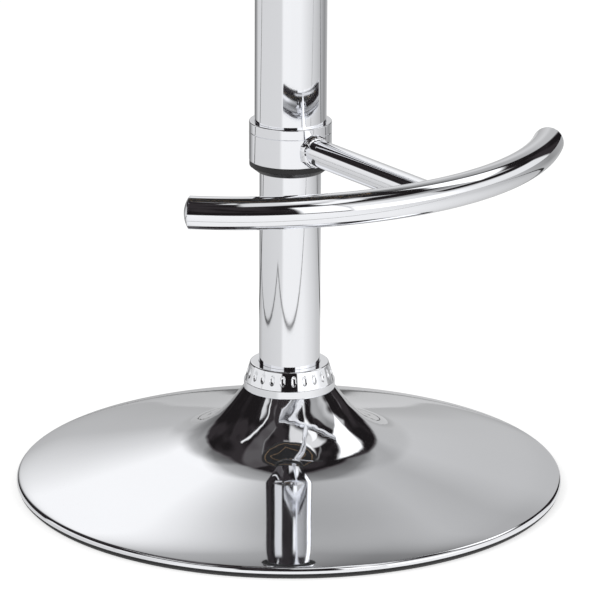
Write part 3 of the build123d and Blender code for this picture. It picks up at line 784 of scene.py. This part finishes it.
def base_ring():
    """Ring with ovals pressed into its cone, whose mesh has fine rows on the cone only."""
    lean = math.atan2(RING_CONE_FOOT - RING_TOP_RADIUS, RING_TOP - RING_BAND_TOP)
    normal = (math.cos(lean), math.sin(lean))
    corners = [
        (35.2, NECK_HEIGHT), (NECK_RADIUS, NECK_HEIGHT), (NECK_RADIUS, RING_BAND_TOP), (RING_CONE_FOOT, RING_BAND_TOP),
        (RING_TOP_RADIUS, RING_TOP), (RING_BORE, RING_TOP), (RING_BORE, RING_TOP - RING_LIP),
        (30, RING_TOP - RING_LIP),
    ]
    outline = held(rounded(corners, {1: 0.3, 2: 0.35, 4: 1.2}))
    face = []
    for here, there in zip(outline, outline[1:] + outline[:1]):
        face.append(here)
        run = math.dist(here, there)
        if run > CONE_RUN and RING_BAND_TOP < here[1] < there[1]:
            count = int(run / DIMPLE_ROW)
            face += [part_way(here, there, step / count) for step in range(1, count)]
    rings = []
    pitch = 2 * math.pi / DIMPLES
    for radius, height in face:
        share = (height - RING_BAND_TOP) / (RING_TOP - RING_BAND_TOP)
        cone = RING_CONE_FOOT + (RING_TOP_RADIUS - RING_CONE_FOOT) * share
        up = (height - DIMPLE_MIDDLE) / math.cos(lean) / DIMPLE_HALF_HEIGHT
        ring = []
        for turn in angles(DIMPLES * DIMPLE_STEPS):
            r, z = radius, height
            if abs(radius - cone) < 0.05 and abs(up) < 1:
                across = ((turn + pitch / 2) % pitch - pitch / 2) * radius / DIMPLE_HALF_WIDTH
                inside = 1 - across * across - up * up
                if inside > 0:
                    depth = DIMPLE_DEPTH * math.sqrt(inside) * min(1, inside * 4) ** 0.25
                    r, z = r - depth * normal[0], z - depth * normal[1]
            ring.append(spoke(r, turn, z))
        rings.append(ring)
    make_piece("base_ring_dimpled", grid_mesh(rings), "chrome", "base", ["base_ring"])


base_shell()
turned("rim_gasket_ring", "rim_gasket", "black_rubber", "base", 384, {1: 0.5, 2: 0.6, 3: 0.4}, [
    (209, 0), (221.5, 0), (223.2, 1.7), (224, 2.6), (224, GASKET_HEIGHT), (223.45, GASKET_HEIGHT),
    (223.45, 7), (221.45, 7), (221.45, 3), (211, 3), (211, 1.5), (209, 1.5),
], 4)
base_ring()
turned("column_tube_skin", "column_tube", "chrome", "base", 256, {3: 0.5}, [
    (23, 17.5), (24.4, 17.5), (COLUMN_RADIUS, 82), (COLUMN_RADIUS, 455.7), (23, 455.7),
])


# ---------------- cover tube, collar, bush
COVER_BOTTOM = 281.7
COVER_TOP = 612.7
COLLAR_RADIUS = 33.5
COLLAR_BOTTOM = 276.7
COLLAR_TOP = 309
COLLAR_BORE = 29.12
GROOVE = 300.5
GROOVE_HALF = 0.35
GROOVE_FLOOR = 33
# The set screws' holes in the collar's back: radius, half length, height, distance from the axis, turn to each side.
GRUB_HOLE = 3.02
GRUB_REACH = 8
GRUB_HEIGHT = 292.85
GRUB_MIDDLE = 31.3
GRUB_TURN = math.radians(35)


def collar():
    """Collar with its turned groove and its two screw holes, which are cut for good."""
    outline = [
        (COLLAR_BORE, COLLAR_BOTTOM), (COLLAR_RADIUS, COLLAR_BOTTOM), (COLLAR_RADIUS, GROOVE - GROOVE_HALF),
        (GROOVE_FLOOR, GROOVE), (COLLAR_RADIUS, GROOVE + GROOVE_HALF), (COLLAR_RADIUS, COLLAR_TOP),
        (COLLAR_BORE, COLLAR_TOP),
    ]
    mesh = lathe(rounded(outline, {1: 0.4, 2: 0.08, 4: 0.08, 5: 0.8, 6: 0.25}), 256)
    smooth(mesh)
    form = new_object("collar_form", mesh)
    for side in (-1, 1):
        hole = lathe([(0, -GRUB_REACH), (GRUB_HOLE, -GRUB_REACH), (GRUB_HOLE, GRUB_REACH), (0, GRUB_REACH)], 48)
        turn = Matrix.Rotation(math.pi / 2 + GRUB_TURN * side, 4, "Z")
        place = Matrix.Translation((GRUB_MIDDLE * MM, 0, GRUB_HEIGHT * MM))
        hole.transform(turn @ place @ Matrix.Rotation(math.pi / 2, 4, "Y"))
        cutter = new_object("cutter", hole)
        cut = form.modifiers.new("cut", "BOOLEAN")
        cut.operation = "DIFFERENCE"
        cut.solver = "EXACT"
        cut.object = cutter
        bpy.context.view_layer.update()
        mesh = bpy.data.meshes.new_from_object(evaluated(form))
        form.modifiers.clear()
        form.data = mesh
        bpy.data.objects.remove(cutter)
    bpy.data.objects.remove(form)
    make_piece("footrest_collar_skin", mesh, "chrome", "seat_lift", ["footrest_collar"])


turned("cover_tube_skin", "cover_tube", "chrome", "seat_lift", 256, {1: 0.3, 2: 0.3}, [
    (27.9, COVER_BOTTOM), (29.1, COVER_BOTTOM), (29.1, COVER_TOP), (27.9, COVER_TOP),
])
collar()
turned("collar_bush_skin", "collar_bush", "black_plastic", "seat_lift", 224, {0: 0.5, 1: 0.8, 2: 0.9, 3: 0.5}, [
    (25.3, 267.6), (27.3, 267.6), (33.2, 272.3), (33.2, COLLAR_BOTTOM), (29.08, COLLAR_BOTTOM),
    (29.08, COVER_BOTTOM), (25.3, COVER_BOTTOM),
])


# ---------------- footrest
ARM_RADIUS = 11
ARM_SLOPE = math.radians(1)
BAR_RADIUS = 12.8
BAR_WALL = 1.5
BAR_REACH = 183
BAR_Z = 287.45
BAR_BEND = 256
BAR_HALF = math.radians(43.5)
ARM_WALL = 1.5
ARM_STEPS = 128
# The arm starts a little inside the collar and bites a little into the crossbar.
ARM_ROOT = 2
ARM_BITE = 1.2
# The weld bead: its height, the spacing, number and squash of its rows, and its uneven swell and run.
BEAD = 2.6
BEAD_ROW = 0.22
BEAD_ROWS = 25
BEAD_SQUASH = 0.85
BEAD_WAVES = (3, 7, 13, 21, 27)
BEAD_SWELL = 1.1
BEAD_RUN = 0.5
BEAD_SHIFT = 0.4
ARM_SHARES = (0.003, 0.02, 0.1, 0.3, 0.5, 0.7, 0.9, 0.985, 1)


def footrest_arm():
    """Arm that starts on the collar's round with an uneven weld bead and ends against the crossbar."""
    waves = random_waves(BEAD_WAVES, lambda count: 0.16 / (1 + 0.15 * count))

    def root(turn, radius):
        return math.sqrt(COLLAR_RADIUS**2 - (radius * math.cos(turn)) ** 2)

    def tip(turn):
        across = ARM_RADIUS * math.cos(turn)
        rise = ARM_RADIUS * math.sin(turn)
        depth = math.sqrt(BAR_RADIUS**2 - rise**2)
        middle = math.sqrt(BAR_BEND**2 - across**2) - (BAR_BEND - BAR_REACH)
        return middle - depth + ARM_BITE

    def bead_foot(turn, radius, row, evenness):
        run = BEAD_RUN * wave_sum(waves, turn + BEAD_SHIFT) * (1 - evenness)
        return root(turn, radius) + row * (1 + run) * BEAD_SQUASH

    def ring(points):
        """Points of one ring of the tube, from (turn, radius, distance from the collar's axis)."""
        result = []
        for turn, radius, distance in points:
            axis = BAR_Z + (BAR_REACH - distance) * math.tan(ARM_SLOPE)
            result.append((radius * math.cos(turn), -distance, axis + radius * math.sin(turn)))
        return result

    turns = angles(ARM_STEPS)
    first = ARM_RADIUS + 0.4 * BEAD
    rings = [ring([(turn, first, root(turn, first) - ARM_ROOT) for turn in turns])]
    end = (BEAD_ROWS - 1) * BEAD_ROW
    for index in range(BEAD_ROWS):
        row = index * BEAD_ROW
        share = row / end
        height = math.sqrt(max(0, 1 - share**2.2)) * BEAD
        points = []
        for turn in turns:
            radius = ARM_RADIUS + height * (1 + BEAD_SWELL * wave_sum(waves, turn) * (1 - share))
            points.append((turn, radius, bead_foot(turn, radius, row, 0)))
        rings.append(ring(points))
    for share in ARM_SHARES:
        points = []
        for turn in turns:
            low = bead_foot(turn, ARM_RADIUS, end, share)
            points.append((turn, ARM_RADIUS, low + (tip(turn) - low) * share))
        rings.append(ring(points))
    inner = ARM_RADIUS - ARM_WALL
    rings.append(ring([(turn, inner, tip(turn)) for turn in turns]))
    rings.append(ring([(turn, inner, root(turn, inner) - ARM_ROOT) for turn in turns]))
    make_piece("footrest_arm_skin", grid_mesh(rings), "chrome", "seat_lift", ["footrest_arm"])


def footrest_bar():
    """Bent tube, with its bore."""
    steps, rows = 96, 220
    rings = []
    for radius, row in both_ways(rows, BAR_RADIUS, BAR_RADIUS - BAR_WALL):
        turn = -BAR_HALF + 2 * BAR_HALF * row / rows
        ring = []
        for spin in angles(steps):
            reach = BAR_BEND + radius * math.cos(spin)
            back = BAR_BEND - BAR_REACH - reach * math.cos(turn)
            ring.append((reach * math.sin(turn), back, BAR_Z + radius * math.sin(spin)))
        rings.append(ring)
    make_piece("footrest_bar_skin", grid_mesh(rings), "chrome", "seat_lift", ["footrest_bar"])


CAP_DOME = 5
CAP_FLANGE = 1
CAP_PLUG = 12
CAP_SEAT = 0.02
CAP_GAP = 0.3


def bar_cap(name, side):
    """Domed cap whose plug sits in the crossbar's end."""
    plug = BAR_RADIUS - BAR_WALL - CAP_GAP
    rise = CAP_DOME - CAP_FLANGE
    ball = (BAR_RADIUS**2 + rise**2) / (2 * rise)
    lift = CAP_DOME - ball
    start = math.atan2(CAP_FLANGE - lift, BAR_RADIUS)
    dome = arc((0, lift), ball, start, math.pi / 2, 22)
    outline = [(0, -CAP_PLUG), (plug - 0.6, -CAP_PLUG), (plug, 0.8 - CAP_PLUG), (plug, CAP_SEAT)]
    outline += [(BAR_RADIUS - 0.25, CAP_SEAT), (BAR_RADIUS, 0.25)] + dome
    mesh = lathe(outline, 96)
    back = BAR_BEND - BAR_REACH - BAR_BEND * math.cos(BAR_HALF)
    spot = Vector((side * BAR_BEND * math.sin(BAR_HALF), back, BAR_Z)) * MM
    outward = Vector((side * math.cos(BAR_HALF), math.sin(BAR_HALF), 0))
    mesh.transform(Matrix.Translation(spot) @ outward.to_track_quat("Z", "Y").to_matrix().to_4x4())
    make_piece(name + "_dome", mesh, "chrome", "seat_lift", [name])


footrest_arm()
footrest_bar()
bar_cap("bar_cap_left", -1)
bar_cap("bar_cap_right", 1)


# ---------------- seat
BOARD_RADIUS = 183
PLATE_TOP = 659.7
BOARD_TOP = 671.7
FOAM_RADIUS = 188
EDGE_TOP = BOARD_TOP + 48
SHOULDER = 22
CROWN = 12
SKIN = 1.9
UNDER = PLATE_TOP - 1.6
MOUTH = 161
PIPING_Z = EDGE_TOP - SHOULDER
PIPING_RADIUS = 3.2
PIPING_CENTRE = FOAM_RADIUS + 2.2 + PIPING_RADIUS
BAND_LEAN = 5
BAND_ROWS = 9
CROWN_ROWS = 32
BOARD_GAP = 0.3


def cushion():
    """Crowned round cushion: side band, welt seam, rounded shoulder and crown, with its skin turned in under
    the board. The foam and skin swell under pressure, held at the welt and at the board."""
    side = FOAM_RADIUS + SKIN
    shoulder_foot = EDGE_TOP - SHOULDER
    band = []
    for index in range(BAND_ROWS + 1):
        share = index / BAND_ROWS
        out = BAND_LEAN * math.sin(math.pi / 2 * share)
        band.append((side - BAND_LEAN + out, UNDER + (shoulder_foot - UNDER) * share))
    turn_in = [(MOUTH, UNDER), (MOUTH + 6, UNDER), (side - 9, UNDER), (side - 5.6, UNDER + 0.25)]
    corner = arc((FOAM_RADIUS - SHOULDER, shoulder_foot), SHOULDER + SKIN, 0, math.pi / 2, 10)
    flat_radius = FOAM_RADIUS - SHOULDER
    crown_ball = (flat_radius**2 + CROWN**2) / (2 * CROWN)
    peak = EDGE_TOP + SKIN + CROWN
    crown = []
    for index in range(1, CROWN_ROWS + 1):
        radius = flat_radius * (1 - index / CROWN_ROWS)
        crown.append((radius, peak - crown_ball + math.sqrt(crown_ball**2 - radius**2)))
    wide, high = BOARD_RADIUS + BOARD_GAP, BOARD_TOP + BOARD_GAP
    inside = [(0, high), (wide, high), (wide, PLATE_TOP), (MOUTH, PLATE_TOP)]
    outline = turn_in + band[1:] + corner[1:] + crown + inside
    mesh = lathe(outline, 240, hold=False)
    form = new_object("seat_cushion_form", mesh)
    rest = [vertex.co.copy() for vertex in mesh.vertices]
    swell(form, rest)
    pucker(mesh, rest)
    bpy.data.objects.remove(form)
    piece = make_piece("seat_cushion", mesh, "seat_leather", "seat_lift", ["seat_cover", "seat_foam"])


# The cloth run: each point's greatest way in metres, the radius inside which the crown rises evenly, and how much
# of the skin stays held beside the welt, above the cushion's underside and beyond the board's edge.
SWELL_CAP = 0.0035
SWELL_EVEN = 60
WELT_HELD = 3
UNDER_HELD = 10
BOARD_HELD = 2
SWELL_PRESSURE = 4
SWELL_STIFFNESS = 40
SWELL_FRAMES = 20


def swell(piece, rest):
    """Cloth under pressure, run to rest, with each point's way capped."""
    mesh = piece.data
    group = piece.vertex_groups.new(name="held")
    for vertex in mesh.vertices:
        radius = math.hypot(vertex.co.x, vertex.co.y) / MM
        height = vertex.co.z / MM
        free_top = height > PIPING_Z + WELT_HELD
        free_band = radius > BOARD_RADIUS + BOARD_HELD and UNDER + UNDER_HELD < height < PIPING_Z - WELT_HELD
        group.add([vertex.index], 0 if free_top or free_band else 1, "REPLACE")
    cloth = piece.modifiers.new("cloth", "CLOTH").settings
    cloth.vertex_group_mass = "held"
    cloth.use_pressure = True
    cloth.uniform_pressure_force = SWELL_PRESSURE
    cloth.effector_weights.gravity = 0
    cloth.quality = 6
    cloth.tension_stiffness = cloth.compression_stiffness = SWELL_STIFFNESS
    scene = bpy.context.scene
    scene.frame_start, scene.frame_end = 1, SWELL_FRAMES
    for moment in range(1, SWELL_FRAMES + 1):
        scene.frame_set(moment)
    places = [vertex.co.copy() for vertex in evaluated(piece).data.vertices]
    piece.modifiers.clear()
    scene.frame_set(1)
    ways = [end - start for start, end in zip(rest, places)]
    for way in ways:
        if way.length > SWELL_CAP:
            way *= SWELL_CAP / way.length
    # The mesh is too fine for the cloth at the crown's middle, which rises evenly with the ring around it.
    spans = [math.hypot(start.x, start.y) / MM if start.z / MM > PIPING_Z else math.inf for start in rest]
    ring = [way.z for way, span in zip(ways, spans) if SWELL_EVEN < span < SWELL_EVEN * 1.3]
    even = Vector((0, 0, sum(ring) / len(ring)))
    for vertex, start, way, span in zip(mesh.vertices, rest, ways, spans):
        vertex.co = start + even.lerp(way, ease(min(1, span / SWELL_EVEN)))


FOLDS = (23, 37, 52, 71, 90)
FOLD_DEPTH = 0.55
FOLD_ABOVE, FOLD_BELOW = 9, 6
WELT_DRAW, WELT_WIDTH = 0.9, 2.2
PUCKER_BOTTOM = 8
PUCKER_INSIDE = 20


def pucker(mesh, rest):
    """Draws the skin in at the welt and lets small folds run away from it."""
    waves = random_waves(FOLDS, lambda count: random.uniform(0.5, 1))
    for vertex, start in zip(mesh.vertices, rest):
        height = start.z / MM
        radius = math.hypot(start.x, start.y) / MM
        if height < UNDER + PUCKER_BOTTOM or radius < BOARD_RADIUS - PUCKER_INSIDE:
            continue
        away = height - PIPING_Z
        fold = wave_sum(waves, math.atan2(start.y, start.x)) / len(waves)
        near = math.exp(-abs(away) / (FOLD_ABOVE if away > 0 else FOLD_BELOW))
        draw = FOLD_DEPTH * fold * near - WELT_DRAW * math.exp(-((away / WELT_WIDTH) ** 2))
        outward = Vector((start.x, start.y, 0)).normalized()
        vertex.co += outward * draw * MM


# The cord's uneven run: waves and their size, the mean loss and ripple of its radius, how deep it sits in the welt,
# and the size, half width and place of its join.
CORD_WAVES, CORD_DRIFT = (5, 9, 17), 0.12
CORD_LOSS, CORD_RIPPLE = 0.12, 0.06
CORD_SUNK = 0.3
JOIN_SIZE, JOIN_HALF, JOIN_TURN = 0.3, 0.012, math.radians(90)


def piping():
    """Welt cord round the cushion, with the small uneven run of a hand-fed cord and its join at the back."""
    steps, rows = 18, 480
    waves = random_waves(CORD_WAVES, lambda count: CORD_DRIFT)
    rings = []
    for turn in angles(rows):
        drift = wave_sum(waves, turn)
        join = math.exp(-(((turn - JOIN_TURN) / JOIN_HALF) ** 2))
        ripple = CORD_RIPPLE * math.sin(140 * turn) * math.sin(7 * turn)
        radius = PIPING_RADIUS - CORD_LOSS + ripple + JOIN_SIZE * join
        ring = []
        for spin in angles(steps):
            out = PIPING_CENTRE - CORD_SUNK + radius * math.cos(spin)
            ring.append(spoke(out, turn, PIPING_Z + drift + radius * math.sin(spin)))
        rings.append(ring)
    piece = make_piece("seat_piping_cord", grid_mesh(rings), "piping_leather", "seat_lift", ["seat_piping"])


CLOTH_OUTER = 157
CLOTH_OPENING = 89
CLOTH_CORNER = 14
CLOTH_THICKNESS = 0.5
CLOTH_SAG = 0.9
CLOTH_HEM = 7
STAPLES = 22
STAPLE_INSET = 5
STAPLE_CROWN = 10.5
STAPLE_WIRE = (0.62, 0.32)
STAPLE_SIDES = 12
STAPLE_GAP = 0.3
# The cloth's gap to the plate's height, its creases' waves, the hem's step, and the lift of the cloth at the hem.
CLOTH_GAP = 0.06
CREASES = (7, 11, 16, 29)
HEM_STEP, HEM_SOFT = 0.28, 0.35
HEM_LIFT, HEM_SHARE = 0.35, 0.16


def square_reach(turn, half, corner):
    """Distance from the middle to a rounded square's edge in one direction."""
    x, y = abs(math.cos(turn)), abs(math.sin(turn))
    reach = half / max(x, y)
    inner = half - corner
    if min(x, y) * reach > inner:
        middle = (x + y) * inner
        reach = middle + math.sqrt(middle**2 - 2 * inner**2 + corner**2)
    return reach


def dust_cloth():
    """Thin cloth stapled under the board, with a folded hem, a slight sag and creases that run from the staples."""
    steps, rows = 352, 30
    area = math.pi * CLOTH_OUTER**2 - (4 * CLOTH_OPENING**2 - (4 - math.pi) * CLOTH_CORNER**2)
    waves = random_waves(CREASES, lambda count: random.uniform(0.4, 1))

    def drop(turn, share):
        belly = math.sin(math.pi * share) ** 0.8
        pull = 0.5 + 0.5 * math.cos(STAPLES * turn)
        crease = wave_sum(waves, turn, 3 * share) / len(waves)
        at_hem = math.exp(-(((1 - share) / HEM_SHARE) ** 2))
        return CLOTH_SAG * belly * (0.75 + 0.35 * crease) + HEM_LIFT * at_hem * (1 - pull) * (share < 0.995)

    def hem(radius):
        inside = CLOTH_OUTER - CLOTH_HEM - radius
        return HEM_STEP / (1 + math.exp(inside / HEM_SOFT))

    rings = []
    for below, row in both_ways(rows, False, True):
        share = row / rows
        ring = []
        for turn in angles(steps):
            first = square_reach(turn, CLOTH_OPENING, CLOTH_CORNER)
            radius = first + (CLOTH_OUTER - first) * share
            height = PLATE_TOP - CLOTH_GAP - drop(turn, share)
            if below:
                height -= CLOTH_THICKNESS + hem(radius)
            ring.append(spoke(radius, turn, height))
        rings.append(ring)
    cloth = make_piece("dust_cloth_sheet", grid_mesh(rings), "dust_cloth", "seat_lift", ["dust_cloth"])
    staples = make_piece("dust_cloth_staples", staple_mesh(), "steel", "seat_lift")
    area *= MM * MM


def staple_mesh():
    """Flat-wire staples round the cloth's edge, whose ends bend up through it."""
    wide, thick = STAPLE_WIRE
    half = STAPLE_CROWN / 2
    leg = [(half, 1), (half, 0.5), (half - 0.16, 0.14), (half - 0.5, 0), (half / 2, -0.03)]
    path = [(-x, z) for x, z in leg] + [(0, -0.04)] + leg[::-1]
    work = bmesh.new()
    for index in range(STAPLES):
        turn = 2 * math.pi * (index + random.uniform(-0.08, 0.08)) / STAPLES
        lean = math.pi / 2 + random.uniform(-0.12, 0.12)
        radius = CLOTH_OUTER - STAPLE_INSET
        spot = spoke(radius, turn, PLATE_TOP - CLOTH_GAP - CLOTH_THICKNESS - STAPLE_GAP)
        place = Matrix.Translation(spot) @ Matrix.Rotation(turn + lean, 4, "Z")
        rings = []
        for (x, z), before, after in zip(path, path[:1] + path, path[1:] + path[-1:]):
            along = Vector((after[0] - before[0], 0, after[1] - before[1])).normalized()
            out = Vector((-along.z, 0, along.x))
            ring = []
            for spin in angles(STAPLE_SIDES):
                across = math.copysign(abs(math.cos(spin)) ** 0.5, math.cos(spin)) * wide / 2
                rise = math.copysign(abs(math.sin(spin)) ** 0.5, math.sin(spin)) * thick / 2
                ring.append(work.verts.new((place @ (Vector((x, across, z)) + out * rise)) * MM))
            rings.append(ring)
        for here, there in zip(rings, rings[1:]):
            for step in range(STAPLE_SIDES):
                after = (step + 1) % STAPLE_SIDES
                work.faces.new((here[step], here[after], there[after], there[step]))
        work.faces.new(rings[0])
        work.faces.new(rings[-1][::-1])
    bmesh.ops.recalc_face_normals(work, faces=work.faces)
    mesh = bpy.data.meshes.new("staples")
    work.to_mesh(mesh)
    work.free()
    return mesh


cushion()
piping()
dust_cloth()
